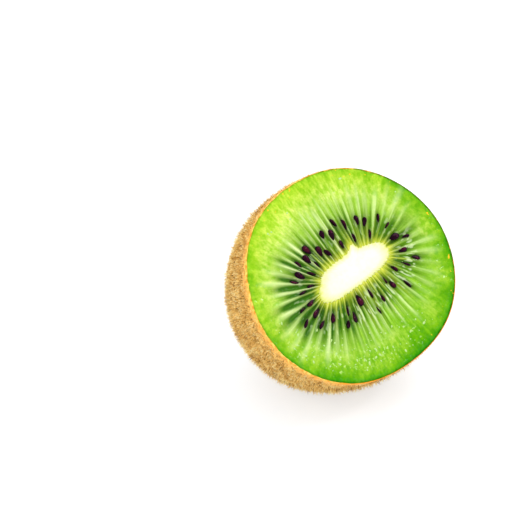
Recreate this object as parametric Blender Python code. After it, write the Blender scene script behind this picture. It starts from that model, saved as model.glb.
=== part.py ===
"""Half a kiwi fruit, lying on its skin with the cut face turned up towards the front.

Run with: blender --background --python part.py

The fruit frame has its origin in the middle of the cut face, +X along the long way of the oval,
+Y along its short way and +Z out of the face. Everything is shaped in that frame, and an empty
carries it to the way the half lies. World: metres, +Z up, the cut face looks to -Y and up.
"""

import math

import bmesh
import bpy
import numpy as np
from mathutils import Matrix, Vector

# The half fruit. A swell is (share of the radius, lobes round the fruit, phase, twist from rim to stem end).
FACE_LONG = 0.0552
FACE_SHORT = 0.0500
DEPTH = 0.0345
BLUNTNESS = 2.25
RIM_ROUNDING = 0.0003
SWELLS = ((0.0027, 1, 0.62, 0.0), (0.0095, 3, 2.76, -0.8), (0.0064, 4, -1.45, 1.5), (0.0038, 6, 1.26, 4.0))
SKIN_TURNS = (4, 9, 15, 22, 30, 38, 47, 56, 65, 73)

# How it lies: slope of the cut face from level, turn of the oval in that face, and the flat pressed in below
FACE_SLOPE = math.radians(48.4)
FACE_TURN = math.radians(13.3)
FLAT_DEPTH = 0.0005
FLAT_TOLERANCE = 0.000005
CUTTER_SIZE = 0.06

# The pale core, which runs from the cut towards the stem end. The tooth is a small point on its upper edge
CORE_LONG = 0.0216
CORE_SHORT = 0.0073
CORE_SKEW = 0.0005
CORE_MIDDLE = (0.0007, 0.0005)
CORE_FULLNESS = 0.75
CORE_SWELLS = ((0.056, 3, 2.64), (0.050, 4, -0.05))
CORE_DEPTH = 0.0290
CORE_SHARES = (0.35, 0.7)
CORE_TIP = 0.45
CORE_GAP = 0.0003
CORE_CROWN = 0.0003
CORE_CROWN_INSET = 0.8
CORE_SPIKE = 0.00025
TOOTH_HEIGHT = 0.0016
TOOTH_ANGLE = 1.39
TOOTH_WIDTH = 0.10
TOOTH_LEAN = 0.35

# The locules, which are the radial chambers round the core, closer together along the oval's flat sides.
# Shares run from the core's edge to the rim
LOCULES = 56
LOCULE_CROWDING = 0.20
LOCULE_STEPS = 3
LOCULE_DEPTH = 0.0003
LOCULE_START = 0.15
LOCULE_FADE = 0.5
LOCULE_END = 0.74
FACE_SHARES = (0.0, 0.08, 0.2, 0.36, 0.52, 0.66, 0.82, 1.0)

# The seeds: in rows at these distances from the core, closer together round its left end. Each is turned about
# its long axis, up to standing on its edge, and stands a little out of the cut
SEED_COUNT = 50
SEED_CROWDING = 0.22
SEED_ROWS = (0.0062, 0.0028, 0.0048)
SEED_LENGTH = 0.0026
SEED_WIDTH = 0.0015
SEED_THICKNESS = 0.0007
SEED_STAND = 0.00022
SEED_POINT = 0.30
SEED_JITTER = 0.06
SEED_ROW_JITTER = 0.0009
SEED_SIZES = (0.74, 1.10)
SEED_SKEW = 0.25
SEED_CLEARANCE = 0.0018
SEED_WELD = 0.00002
DRAW = 1213

# The stem end: a dimple with a woody scar
DIMPLE_RADIUS = 0.0080
DIMPLE_DEPTH = 0.0016
DIMPLE_RINGS = (0.0064, 0.0044)
SCAR_RADIUS = 0.0025
SCAR_HEIGHT = 0.0007
SCAR_EDGE = 0.0005

AROUND_FACE = LOCULES * LOCULE_STEPS
AROUND_SKIN = AROUND_FACE // 2
SHARP_ANGLE = math.radians(40)


def angles(count):
    return np.arange(count) * (2 * math.pi / count)


def smooth_step(low, high, x):
    t = np.clip((x - low) / (high - low), 0.0, 1.0)
    return t * t * (3 - 2 * t)


def crowded(turn):
    """Angle of the oval at an even turn: the angles lie closer together along the flat sides."""
    return turn + LOCULE_CROWDING * np.sin(2 * turn)


def fruit_ring(turn, radius_share, depth_share):
    """Points round the skin, where the section has this share of the rim's radius and of the depth."""
    angle = crowded(turn)
    swell = np.ones_like(angle)
    for size, lobes, phase, twist in SWELLS:
        swell += size * np.sin(lobes * angle + phase + twist * depth_share)
    x = FACE_LONG / 2 * np.cos(angle) * swell * radius_share
    y = FACE_SHORT / 2 * np.sin(angle) * swell * radius_share
    out = np.hypot(x, y)
    dimple = DIMPLE_DEPTH * (1 - smooth_step(0, DIMPLE_RADIUS, out))
    scar = SCAR_HEIGHT * (1 - smooth_step(SCAR_RADIUS, SCAR_RADIUS + SCAR_EDGE, out))
    z = -DEPTH * depth_share * np.ones_like(angle) + dimple - scar
    return np.stack([x, y, z], axis=1)


def core_outline(turn, grow=0.0):
    """The core's edge: a blunt, skewed, wavy oval, with a tooth, and a small spike at each locule wall."""
    angle = crowded(turn)
    spike = CORE_SPIKE * np.maximum(0.0, np.cos(LOCULES * turn))
    swell = 1 + sum(size * np.sin(lobes * angle + phase) for size, lobes, phase in CORE_SWELLS)
    half_long = CORE_LONG / 2 * swell + grow + spike
    half_short = CORE_SHORT / 2 * swell + grow + spike + CORE_SKEW * np.sin(2 * angle)
    across, up = np.cos(angle), np.sin(angle)
    tooth = TOOTH_HEIGHT * np.exp(-(((angle - TOOTH_ANGLE) / TOOTH_WIDTH) ** 2))
    x = CORE_MIDDLE[0] + half_long * np.sign(across) * np.abs(across) ** CORE_FULLNESS + TOOTH_LEAN * tooth
    y = CORE_MIDDLE[1] + half_short * np.sign(up) * np.abs(up) ** CORE_FULLNESS + tooth
    return x, y


def core_ring(turn, depth, grow=0.0):
    """The core's section at a depth below the cut: it narrows and rounds off towards the stem end."""
    share = depth / CORE_DEPTH
    x, y = core_outline(turn, grow)
    narrowing = 1 - (1 - CORE_TIP) * share**2
    return np.stack([x * narrowing, y * narrowing, np.full_like(turn, -depth)], axis=1)


def face_ring(turn, share):
    """Points on the cut face, a share of the way from the core's edge to the rim, sunk in the locules."""
    core_x, core_y = core_outline(turn, CORE_GAP)
    rim = fruit_ring(turn, 1 - 2 * RIM_ROUNDING / FACE_LONG, 0.0)
    sunk = smooth_step(0.0, LOCULE_START, share) * (1 - smooth_step(LOCULE_FADE, LOCULE_END, share))
    wall = 0.5 + 0.5 * np.cos(LOCULES * turn)
    x = core_x + (rim[:, 0] - core_x) * share
    y = core_y + (rim[:, 1] - core_y) * share
    return np.stack([x, y, -LOCULE_DEPTH * sunk * (1 - wall)], axis=1)


def skin_rings():
    """Rings from just under the rim down to the woody scar at the stem end."""
    rings = []
    for turn in np.radians(SKIN_TURNS):
        rings.append((math.cos(turn) ** (2 / BLUNTNESS), math.sin(turn) ** (2 / BLUNTNESS)))
    for radius in (*DIMPLE_RINGS, SCAR_RADIUS + SCAR_EDGE, SCAR_RADIUS, SCAR_RADIUS / 2):
        radius_share = 2 * radius / FACE_LONG
        rings.append((radius_share, (1 - radius_share**BLUNTNESS) ** (1 / BLUNTNESS)))
    return [fruit_ring(angles(AROUND_SKIN), radius, depth) for radius, depth in rings]


def band(upper, lower, upper_start, lower_start):
    """Faces between two rings. The lower ring has as many points as the upper one, or half as many."""
    faces = []
    halved = lower < upper
    for i in range(upper):
        a, b = upper_start + i, upper_start + (i + 1) % upper
        if not halved:
            faces.append((a, lower_start + i, lower_start + (i + 1) % lower, b))
        elif i % 2 == 0:
            faces.append((a, lower_start + i // 2, b))
        else:
            c, d = lower_start + i // 2, lower_start + (i // 2 + 1) % lower
            faces.append((a, c, d, b))
    return faces


def loft(name, rings, first_middle, last_middle):
    """A closed solid skinned over rings of unlike section, with a fan of faces at both ends."""
    points = [first_middle]
    faces = []
    starts = []
    for ring in rings:
        starts.append(len(points))
        points.extend(ring.tolist())
    points.append(last_middle)
    first, last = len(rings[0]), len(rings[-1])
    for i in range(first):
        faces.append((0, 1 + i, 1 + (i + 1) % first))
    for i in range(len(rings) - 1):
        faces.extend(band(len(rings[i]), len(rings[i + 1]), starts[i], starts[i + 1]))
    for i in range(last):
        faces.append((len(points) - 1, starts[-1] + (i + 1) % last, starts[-1] + i))
    mesh = bpy.data.meshes.new(name)
    mesh.from_pydata(points, [], faces)
    return mesh


def material(name, colour, roughness):
    made = bpy.data.materials.new(name)
    made.use_nodes = True
    shader = made.node_tree.nodes["Principled BSDF"]
    shader.inputs["Base Color"].default_value = (*colour, 1.0)
    shader.inputs["Roughness"].default_value = roughness
    shader.inputs["Metallic"].default_value = 0.0
    return made


def add_object(mesh, collection, parent=None):
    made = bpy.data.objects.new(mesh.name, mesh)
    collection.objects.link(made)
    made.parent = parent
    return made


def apply_modifiers(target):
    """Replaces the object's mesh by what its modifiers make of it."""
    graph = bpy.context.evaluated_depsgraph_get()
    mesh = bpy.data.meshes.new_from_object(target.evaluated_get(graph))
    mesh.name = target.name
    target.modifiers.clear()
    target.data = mesh


def make_flesh(collection, parent):
    """The flesh with its skin: the core's hole, the cut face, the rounded rim and the skin in one loft."""
    around = angles(AROUND_FACE)
    hole = [core_ring(around, CORE_DEPTH * share, CORE_GAP) for share in (1.0, *reversed(CORE_SHARES))]
    face = [face_ring(around, share) for share in FACE_SHARES]
    rim = fruit_ring(around, 1.0, RIM_ROUNDING / DEPTH)
    middle_x, middle_y = (CORE_TIP * place for place in CORE_MIDDLE)
    mesh = loft(
        "flesh",
        [*hole, *face, rim, *skin_rings()],
        (middle_x, middle_y, -CORE_DEPTH - CORE_GAP),
        (0.0, 0.0, -DEPTH + DIMPLE_DEPTH - SCAR_HEIGHT),
    )
    return add_object(mesh, collection, parent)


def make_core(collection, parent):
    """The pale core: slightly crowned at the cut, and narrowing towards the stem end."""
    around = angles(AROUND_FACE)
    top = np.array([*CORE_MIDDLE, CORE_CROWN])
    edge = core_ring(around, 0.0)
    inner = top + (edge - top) * CORE_CROWN_INSET
    inner[:, 2] = CORE_CROWN * CORE_CROWN_INSET
    column = [core_ring(around, CORE_DEPTH * share) for share in CORE_SHARES]
    tip = core_ring(around, CORE_DEPTH) + np.array([0.0, 0.0, CORE_GAP])
    middle_x, middle_y = (CORE_TIP * place for place in CORE_MIDDLE)
    mesh = loft(
        "core",
        [inner, edge, *column, tip],
        top.tolist(),
        (middle_x, middle_y, -CORE_DEPTH + CORE_GAP / 2),
    )
    return add_object(mesh, collection, parent)


def seed_places():
    """(turn round the core, distance from it, size, skew, roll) of each seed."""
    rng = np.random.default_rng(DRAW)
    even = angles(SEED_COUNT)
    turns = even + SEED_CROWDING * np.sin(even) + rng.uniform(-SEED_JITTER, SEED_JITTER, SEED_COUNT)
    rows = np.resize(SEED_ROWS, SEED_COUNT) + rng.uniform(-SEED_ROW_JITTER, SEED_ROW_JITTER, SEED_COUNT)
    sizes = rng.uniform(*SEED_SIZES, SEED_COUNT)
    skews = rng.uniform(-SEED_SKEW, SEED_SKEW, SEED_COUNT)
    rolls = rng.uniform(-math.pi / 2, math.pi / 2, SEED_COUNT)
    return zip(turns, rows, sizes, skews, rolls)


def add_seeds(collection, parent):
    """Each seed is a flattened drop that points to the core, half sunk in the floor of its locule."""
    taken = []
    for turn, distance, size, skew, roll in seed_places():
        inner, outer = (face_ring(np.array([turn]), share)[0] for share in (0.0, 1.0))
        place = inner + (outer - inner) * distance / math.dist(inner, outer)
        if any(math.dist(place, other) < SEED_CLEARANCE for other in taken):
            continue
        taken.append(tuple(place))
        heading = math.atan2(outer[1] - inner[1], outer[0] - inner[0]) + skew
        bm = bmesh.new()
        bmesh.ops.create_uvsphere(bm, u_segments=6, v_segments=4, radius=0.5)
        bmesh.ops.rotate(bm, verts=bm.verts, matrix=Matrix.Rotation(math.pi / 2, 3, "Y"))
        for vert in bm.verts:
            vert.co.y *= 1 + SEED_POINT * 2 * vert.co.x
        bmesh.ops.scale(bm, verts=bm.verts, vec=Vector((SEED_LENGTH, SEED_WIDTH, SEED_THICKNESS)) * size)
        mesh = bpy.data.meshes.new("seed")
        bm.to_mesh(mesh)
        bm.free()
        seed = add_object(mesh, collection, parent)
        reach = size / 2 * math.hypot(SEED_WIDTH * math.sin(roll), SEED_THICKNESS * math.cos(roll))
        seed.location = (place[0], place[1], SEED_STAND - reach)
        seed.rotation_euler = (roll, 0.0, heading)


def fuse_seeds(flesh, seeds):
    """Joins the seeds to the flesh, and welds the slivers where they meet it."""
    union = flesh.modifiers.new("seeds", "BOOLEAN")
    union.operation = "UNION"
    union.operand_type = "COLLECTION"
    union.collection = seeds
    union.solver = "EXACT"
    apply_modifiers(flesh)
    bm = bmesh.new()
    bm.from_mesh(flesh.data)
    bmesh.ops.remove_doubles(bm, verts=bm.verts, dist=SEED_WELD)
    bm.to_mesh(flesh.data)
    bm.free()
    for seed in list(seeds.objects):
        bpy.data.objects.remove(seed)
    bpy.data.collections.remove(seeds)


def lay_down(axis, flesh):
    """Turns the half to its resting slope, and sets it down, sunk by the depth of its flat spot."""
    turned = Matrix.Rotation(FACE_SLOPE, 3, "X") @ Matrix.Rotation(FACE_TURN, 3, "Z")
    axis.rotation_euler = turned.to_euler()
    bpy.context.view_layer.update()
    lowest = min((flesh.matrix_world @ vert.co for vert in flesh.data.vertices), key=lambda point: point.z)
    axis.location = (-lowest.x, -lowest.y, -lowest.z - FLAT_DEPTH)
    bpy.context.view_layer.update()


def press_flat(axis, flesh, cutters):
    """Cuts the flat spot at z = 0, and moves the half so that the middle of that flat is the origin."""
    bpy.ops.mesh.primitive_cube_add(size=CUTTER_SIZE, location=(0.0, 0.0, -CUTTER_SIZE / 2))
    ground = bpy.context.object
    ground.name = "ground_cutter"
    ground.users_collection[0].objects.unlink(ground)
    cutters.objects.link(ground)
    ground.hide_render = True
    ground.display_type = "WIRE"
    cut = flesh.modifiers.new("flat", "BOOLEAN")
    cut.operation = "DIFFERENCE"
    cut.object = ground
    cut.solver = "EXACT"
    apply_modifiers(flesh)
    bottom = [p for p in flesh.data.polygons if (flesh.matrix_world @ p.center).z < FLAT_TOLERANCE]
    area = sum(p.area for p in bottom)
    middle = sum(((flesh.matrix_world @ p.center) * p.area for p in bottom), Vector()) / area
    axis.location.x -= middle.x
    axis.location.y -= middle.y


def main():
    for old in list(bpy.data.objects):
        bpy.data.objects.remove(old)
    scene = bpy.context.scene
    fruit = bpy.data.collections.new("kiwi_half")
    cutters = bpy.data.collections.new("cutters")
    seeds = bpy.data.collections.new("seeds")
    for collection in (fruit, cutters, seeds):
        scene.collection.children.link(collection)

    axis = bpy.data.objects.new("fruit_axis", None)
    fruit.objects.link(axis)

    flesh = make_flesh(fruit, axis)
    core = make_core(fruit, axis)
    add_seeds(seeds, axis)
    lay_down(axis, flesh)
    fuse_seeds(flesh, seeds)
    press_flat(axis, flesh, cutters)
    flesh.data.materials.clear()
    flesh.data.materials.append(material("green_flesh", (0.33, 0.62, 0.04), 0.35))
    core.data.materials.append(material("pale_core", (0.90, 0.90, 0.62), 0.45))
    for piece in (flesh, core):
        piece.data.shade_smooth()
        piece.data.set_sharp_from_angle(angle=SHARP_ANGLE)


main()
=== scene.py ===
import math

import bpy
import numpy as np
from mathutils import Matrix, Vector


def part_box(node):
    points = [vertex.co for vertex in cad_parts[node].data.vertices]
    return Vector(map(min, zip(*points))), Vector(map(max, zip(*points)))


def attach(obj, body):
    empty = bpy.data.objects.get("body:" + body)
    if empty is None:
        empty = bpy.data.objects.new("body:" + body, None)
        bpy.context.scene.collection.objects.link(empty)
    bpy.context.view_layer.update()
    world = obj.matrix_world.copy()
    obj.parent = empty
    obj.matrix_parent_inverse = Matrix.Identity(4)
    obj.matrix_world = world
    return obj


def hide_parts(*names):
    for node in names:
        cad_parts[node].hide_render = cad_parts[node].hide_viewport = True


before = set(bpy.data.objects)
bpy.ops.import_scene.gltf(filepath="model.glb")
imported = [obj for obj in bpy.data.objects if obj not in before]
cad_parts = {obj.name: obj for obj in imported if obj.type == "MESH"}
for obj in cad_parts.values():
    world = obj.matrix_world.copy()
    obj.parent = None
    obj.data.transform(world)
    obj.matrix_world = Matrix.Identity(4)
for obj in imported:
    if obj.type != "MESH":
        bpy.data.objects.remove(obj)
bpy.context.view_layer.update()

print("the frame is loaded")

# All shapes are worked out in the fruit's own frame: middle of the cut face at zero, x the long way of the
# oval, y the short way, z out of the face. Lengths are metres, and a share runs from the core to the rim.
fruit = {
    "long": 0.0552,
    "short": 0.0500,
    "depth": 0.0345,
    "bluntness": 2.25,  # 2 would be an ellipse
    "swells": (  # size, lobes, phase and twist of each
        (0.0027, 1, 0.62, 0.0),
        (0.0095, 3, 2.76, -0.8),
        (0.0064, 4, -1.45, 1.5),
        (0.0038, 6, 1.26, 4.0),
    ),
    "dimpleRadius": 0.0080,
    "dimpleDepth": 0.0016,
    "scarRadius": 0.0025,
    "scarHeight": 0.0007,
    "scarEdge": 0.0005,
    "stemLift": 0.0009,  # of what lies under the skin at the stem end
    "stemZone": (0.10, 0.30),  # shares of the radius where this lift fades out
    "inside": (0.0, 0.0, -0.012),  # a place well inside, to tell outwards from inwards
    "slope": math.radians(48.4),  # of the cut face from level
    "turn": math.radians(13.3),  # of the oval in that face
    "floorGap": 0.00004,
}

coreShape = {
    "long": 0.0216,
    "short": 0.0073,
    "skew": 0.0005,
    "middle": (0.0007, 0.0005),
    "fullness": 0.75,
    "swells": ((0.056, 3, 2.64), (0.050, 4, -0.05)),  # size, lobes and phase of each
    "toothHeight": 0.0016,
    "toothAngle": 1.39,
    "toothWidth": 0.10,
    "toothLean": 0.35,
    "depth": 0.0290,
    "tip": 0.45,  # size of its lower end
    "crown": 0.0003,
    "spike": 0.00025,
    "gap": 0.0003,
}

# chambers of the flesh round the core, with their hollows' depth and the shares where they start and fade
locules = {"count": 56, "crowding": 0.20, "depth": 0.0003, "start": 0.15, "fade": 0.5, "end": 0.74}


# eased step from 0 at low to 1 at high: t squared times (3 - 2t)
def smoothStep(low, high, x):
    t = np.clip((x - low) / (high - low), 0.0, 1.0)
    return t * t * (3 - 2 * t)


# angles of one turn in even steps
def evenAngles(count):
    return np.arange(count) * 2 * math.pi / count


# vectors made 1 long
def unit(vectors):
    return vectors / np.linalg.norm(vectors, axis=-1, keepdims=True)


# vectors at points of the fruit, turned round where they point inwards
def outwards(vectors, points):
    return vectors * np.sign((vectors * (points - fruit["inside"])).sum(-1, keepdims=True))


# points from places (x, y) on the face and their heights
def raised(place, height=0.0):
    height = np.broadcast_to(height, place.shape[:-1])
    return np.concatenate([place, height[..., None]], -1)


# smooth noise from 0 to 1: a scrambled number at each corner of a grid of cubes, blended with eased weights
def blendNoise(points, size, seed):
    scaled = np.asarray(points, float) / size
    low = np.floor(scaled)
    part = smoothStep(0.0, 1.0, scaled - low)
    low = low.astype(np.int64).astype(np.uint64)
    total = np.zeros(scaled.shape[:-1])
    primes = np.array([73856093, 19349663, 83492791], np.uint64)
    for corner in range(8):
        step = np.array([corner & 1, corner >> 1 & 1, corner >> 2 & 1])
        mixed = ((low + step.astype(np.uint64)) * primes).sum(-1) + np.uint64(seed * 7919 + 17)
        mixed = (mixed ^ mixed >> np.uint64(15)) * np.uint64(0x2C1B3C6D)
        mixed = (mixed ^ mixed >> np.uint64(12)) * np.uint64(0x297A2D39)
        mixed = (mixed ^ mixed >> np.uint64(15)) & np.uint64(0xFFFF)
        weight = np.where(step, part, 1 - part).prod(-1)
        total += weight * mixed / 0xFFFF
    return total


# rough noise from 0 to 1: layers of smooth noise, each half as large in the grid and half as strong
def roughNoise(points, size, seed, layers=3):
    total = sum(blendNoise(points, size / 2**i, seed + i) / 2**i for i in range(layers))
    return total / (2 - 2 ** (1 - layers))


# rough noise from -1 to 1
def signedNoise(points, size, seed, layers=3):
    return (roughNoise(points, size, seed, layers) - 0.5) * 2


# angle of the oval at an even turn: the turn plus a share of the sine of twice the turn, so that the angles
# lie closer together along the flat sides
def crowded(turn):
    return turn + locules["crowding"] * np.sin(2 * turn)


# size of the fruit at an angle: 1 plus a few sine lobes that twist slowly towards the stem end
def swellAt(angle, depthShare):
    lobed = (
        size * np.sin(lobes * angle + phase + twist * depthShare)
        for size, lobes, phase, twist in fruit["swells"]
    )
    return 1 + sum(lobed)


# skin: an oval of the rim's size times radiusShare and the swell, at minus the depth times depthShare, raised
# by an eased dimple round the stem end and lowered again by the round woody scar in it
def fruitPoint(angle, radiusShare, depthShare):
    factor = swellAt(angle, depthShare) * radiusShare
    x = fruit["long"] / 2 * np.cos(angle) * factor
    y = fruit["short"] / 2 * np.sin(angle) * factor
    out = np.hypot(x, y)
    dimple = fruit["dimpleDepth"] * (1 - smoothStep(0.0, fruit["dimpleRadius"], out))
    scarEdge = fruit["scarRadius"] + fruit["scarEdge"]
    scar = fruit["scarHeight"] * (1 - smoothStep(fruit["scarRadius"], scarEdge, out))
    z = -fruit["depth"] * depthShare + dimple - scar
    return np.stack(np.broadcast_arrays(x, y, z), axis=-1)


# place just under the skin: the skin's place at both shares times inset, lifted near the stem end to stay
# inside the dimple
def underSkin(angle, radiusShare, depthShare, inset):
    points = fruitPoint(angle, radiusShare * inset, depthShare * inset)
    points[..., 2] += fruit["stemLift"] * (1 - smoothStep(*fruit["stemZone"], radiusShare))
    return points


# shares of the rim's radius and of the depth at a turn from the rim: powers of cosine and sine
def domeShares(turn):
    power = 2 / fruit["bluntness"]
    return np.cos(turn) ** power, np.sin(turn) ** power


# core's edge: a blunt skewed oval with sine swells, a bell-shaped tooth on its upper side, and a small spike
# at each wall between two chambers
def coreOutline(turn, grow=0.0):
    angle = crowded(turn)
    spike = coreShape["spike"] * np.maximum(0.0, np.cos(locules["count"] * turn))
    swell = 1 + sum(size * np.sin(lobes * angle + phase) for size, lobes, phase in coreShape["swells"])
    halfLong = coreShape["long"] / 2 * swell + grow + spike
    halfShort = coreShape["short"] / 2 * swell + grow + spike + coreShape["skew"] * np.sin(2 * angle)
    across, up = np.cos(angle), np.sin(angle)
    fromTooth = (angle - coreShape["toothAngle"]) / coreShape["toothWidth"]
    tooth = coreShape["toothHeight"] * np.exp(-(fromTooth**2))
    x = coreShape["middle"][0] + halfLong * np.sign(across) * np.abs(across) ** coreShape["fullness"]
    y = coreShape["middle"][1] + halfShort * np.sign(up) * np.abs(up) ** coreShape["fullness"]
    return np.stack([x + coreShape["toothLean"] * tooth, y + tooth], axis=-1)


# core's section at a depth: its outline times 1 less a share of the depth squared
def coreRing(turn, depth, grow=0.0):
    narrowing = 1 - (1 - coreShape["tip"]) * (depth / coreShape["depth"]) ** 2
    return raised(coreOutline(turn, grow) * narrowing, -depth)


# the fruit's frame turned as the half lies, and moved so that the core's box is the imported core's box
turned = np.array(Matrix.Rotation(fruit["slope"], 3, "X") @ Matrix.Rotation(fruit["turn"], 3, "Z"))
packedAround = evenAngles(3 * locules["count"])
coreSolid = np.concatenate([
    coreRing(packedAround, 0.0),
    coreRing(packedAround, coreShape["depth"]) + [0.0, 0.0, coreShape["gap"]],
])
faceCentre = np.array(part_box("core")[0]) - (coreSolid @ turned.T).min(0)


# world place of points in the fruit's frame, held just above the floor
def toWorld(points):
    world = points @ turned.T + faceCentre
    world[..., 2] = np.maximum(world[..., 2], fruit["floorGap"])
    return world


# faces of closed skins, each made of one end point, rings of points and another end point
def ringFaces(pieces, rings, around):
    ring, spoke = np.meshgrid(np.arange(rings - 1), np.arange(around), indexing="ij")
    here = ring * around + spoke
    beside = ring * around + (spoke + 1) % around
    sides = np.stack([here, here + around, beside + around, beside], -1)
    here = np.arange(around)
    beside = (here + 1) % around
    last = 1 + rings * around
    top = np.stack([np.zeros_like(here), 1 + here, 1 + beside], -1)
    bottom = np.stack([np.full_like(here, last), last - around + beside, last - around + here], -1)
    starts = np.arange(pieces)[:, None, None] * (last + 1)
    quads = (sides.reshape(-1, 4) + 1 + starts).reshape(-1, 4)
    ends = (np.concatenate([top, bottom]) + starts).reshape(-1, 3)
    return quads, ends


# points of such skins in the order that ringFaces counts them
def ringPoints(first, rings, last):
    pieces = rings.shape[0]
    return np.concatenate([first[:, None], rings.reshape(pieces, -1, 3), last[:, None]], 1).reshape(-1, 3)


# a new object in the scene
def addObject(name, data):
    thing = bpy.data.objects.new(name, data)
    bpy.context.scene.collection.objects.link(thing)
    return thing


# one object from rings of points (pieces, rings, round, 3) and end points, its faces turned outwards, with
# values for its materials: one for the first points, one for the rings and one for the last points
def addPiece(name, first, rings, last, material, nodes, values=None):
    pieces, count, around = rings.shape[:3]
    points = toWorld(ringPoints(first, rings, last))
    quads, ends = ringFaces(pieces, count, around)
    triangles = np.concatenate([quads[:, [0, 1, 2]], quads[:, [0, 2, 3]], ends])
    corner, second, third = (points[triangles[:, k]] for k in range(3))
    volume = np.einsum("ij,ij->", corner, np.cross(second, third))
    if volume < 0:
        quads, ends = quads[:, ::-1], ends[:, ::-1]
    corners = np.concatenate([quads.ravel(), ends.ravel()])
    sizes = np.concatenate([np.full(len(quads), 4), np.full(len(ends), 3)])
    starts = np.concatenate([[0], np.cumsum(sizes)[:-1]])
    mesh = bpy.data.meshes.new(name)
    mesh.vertices.add(len(points))
    mesh.vertices.foreach_set("co", points.astype(np.float32).ravel())
    mesh.loops.add(len(corners))
    mesh.loops.foreach_set("vertex_index", corners.astype(np.int32))
    mesh.polygons.add(len(sizes))
    mesh.polygons.foreach_set("loop_start", starts.astype(np.int32))
    mesh.update(calc_edges=True)
    mesh.shade_smooth()
    for key, (start, middle, end) in (values or {}).items():
        layer = mesh.attributes.new(key, "FLOAT", "POINT")
        start, end = (np.broadcast_to(np.reshape(value, (-1, 1)), (pieces, 1)) for value in (start, end))
        middle = np.broadcast_to(middle, rings.shape[:3]).reshape(pieces, -1)
        spread = np.concatenate([start, middle, end], 1).astype(np.float32)
        layer.data.foreach_set("value", spread.ravel())
    mesh.materials.append(material)
    piece = addObject(name, mesh)
    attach(piece, "root")
    if nodes:
        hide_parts(*nodes)
    print(f"{name}: {len(quads) * 2 + len(ends)} triangles")


# a node with its settings and its inputs, each a value or another node's socket
def putNode(tree, kind, inputs=None, **settings):
    node = tree.nodes.new(kind)
    for key, value in settings.items():
        setattr(node, key, value)
    for key, value in (inputs or {}).items():
        if isinstance(value, bpy.types.NodeSocket):
            tree.links.new(value, node.inputs[key])
        else:
            node.inputs[key].default_value = value
    return node


# two colours mixed by a factor, or the second laid on the first in another blend
def mixColour(tree, factor, first, second, blend="MIX"):
    values = {0: factor, 6: first, 7: second}
    values = {k: (*v, 1.0) if isinstance(v, tuple) and len(v) == 3 else v for k, v in values.items()}
    return putNode(tree, "ShaderNodeMix", values, data_type="RGBA", blend_type=blend).outputs[2]


# a value that the piece carries at its points
def readValue(tree, name):
    return putNode(tree, "ShaderNodeAttribute", attribute_name=name).outputs["Fac"]


# a value from 0 to 1 spread from low to high
def scaleValue(tree, value, low, high):
    inputs = {"Value": value, "To Min": low, "To Max": high}
    return putNode(tree, "ShaderNodeMapRange", inputs).outputs["Result"]


# eased step from 0 at low to 1 at high
def stepValue(tree, value, low, high):
    inputs = {"Value": value, "From Min": low, "From Max": high}
    return putNode(tree, "ShaderNodeMapRange", inputs, interpolation_type="SMOOTHSTEP").outputs["Result"]


# product of two values, kept from 0 to 1
def multiply(tree, first, second):
    inputs = {0: first, 1: second}
    return putNode(tree, "ShaderNodeMath", inputs, operation="MULTIPLY", use_clamp=True).outputs[0]


# colour at a factor between stops of (place, colour)
def colourRamp(tree, factor, stops):
    node = putNode(tree, "ShaderNodeValToRGB", {"Fac": factor})
    elements = node.color_ramp.elements
    while len(elements) < len(stops):
        elements.new(0.5)
    for element, (place, colour) in zip(elements, stops):
        element.position = place
        element.color = (*colour, 1.0)
    return node.outputs["Color"]


# a tint over the colour, as strong as the value times the strength
def tintBy(tree, colour, value, strength, tint):
    return mixColour(tree, scaleValue(tree, value, 0.0, strength), colour, tint)


# the colour multiplied by a ramp's, in full or by a factor
def shadeBy(tree, colour, value, stops, factor=1.0):
    return mixColour(tree, factor, colour, colourRamp(tree, value, stops), "MULTIPLY")


# a node group with number inputs and one number output, the values given to it, and Object coordinates with
# the scale that makes a pattern as large as its Size in metres
def newGroup(name, numbers, output):
    group = bpy.data.node_groups.new(name, "ShaderNodeTree")
    for key, value in numbers.items():
        group.interface.new_socket(key, in_out="INPUT", socket_type="NodeSocketFloat").default_value = value
    group.interface.new_socket(output, in_out="OUTPUT", socket_type="NodeSocketFloat")
    given = group.nodes.new("NodeGroupInput").outputs
    place = group.nodes.new("ShaderNodeTexCoord").outputs["Object"]
    scale = putNode(group, "ShaderNodeMath", {0: 1.0, 1: given["Size"]}, operation="DIVIDE").outputs[0]
    return group, given, {"Vector": place, "Scale": scale}


# node group: cloudy mask from 0 to 1, noise with its contrast stretched from Low to High
def makeMottle():
    group, given, grid = newGroup("mottle", {"Size": 0.001, "Detail": 2.0, "Low": 0.4, "High": 0.6}, "Mask")
    noise = putNode(group, "ShaderNodeTexNoise", {**grid, "Detail": given["Detail"]})
    inputs = {"Value": noise.outputs["Fac"], "From Min": given["Low"], "From Max": given["High"]}
    mask = putNode(group, "ShaderNodeMapRange", inputs).outputs["Result"]
    group.links.new(mask, group.nodes.new("NodeGroupOutput").inputs["Mask"])
    return group


# node group: height of a wet, cellular grain, small bubbles of one size mixed with finer noise
def makeGrain():
    group, given, grid = newGroup("grain", {"Size": 0.0005, "Bubbles": 0.5}, "Height")
    cells = putNode(group, "ShaderNodeTexVoronoi", grid, feature="SMOOTH_F1")
    noise = putNode(group, "ShaderNodeTexNoise", {**grid, "Detail": 3.0})
    inputs = {0: given["Bubbles"], 2: noise.outputs["Fac"], 3: cells.outputs["Distance"]}
    mixed = putNode(group, "ShaderNodeMix", inputs, data_type="FLOAT").outputs[0]
    group.links.new(mixed, group.nodes.new("NodeGroupOutput").inputs["Height"])
    return group


mottleGroup, grainGroup = makeMottle(), makeGrain()


# the mottle group in a material: noise of a size in metres
def mottle(tree, size, low, high, detail=2.0):
    inputs = {"Size": size, "Low": low, "High": high, "Detail": detail}
    return putNode(tree, "ShaderNodeGroup", inputs, node_tree=mottleGroup).outputs["Mask"]


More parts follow.
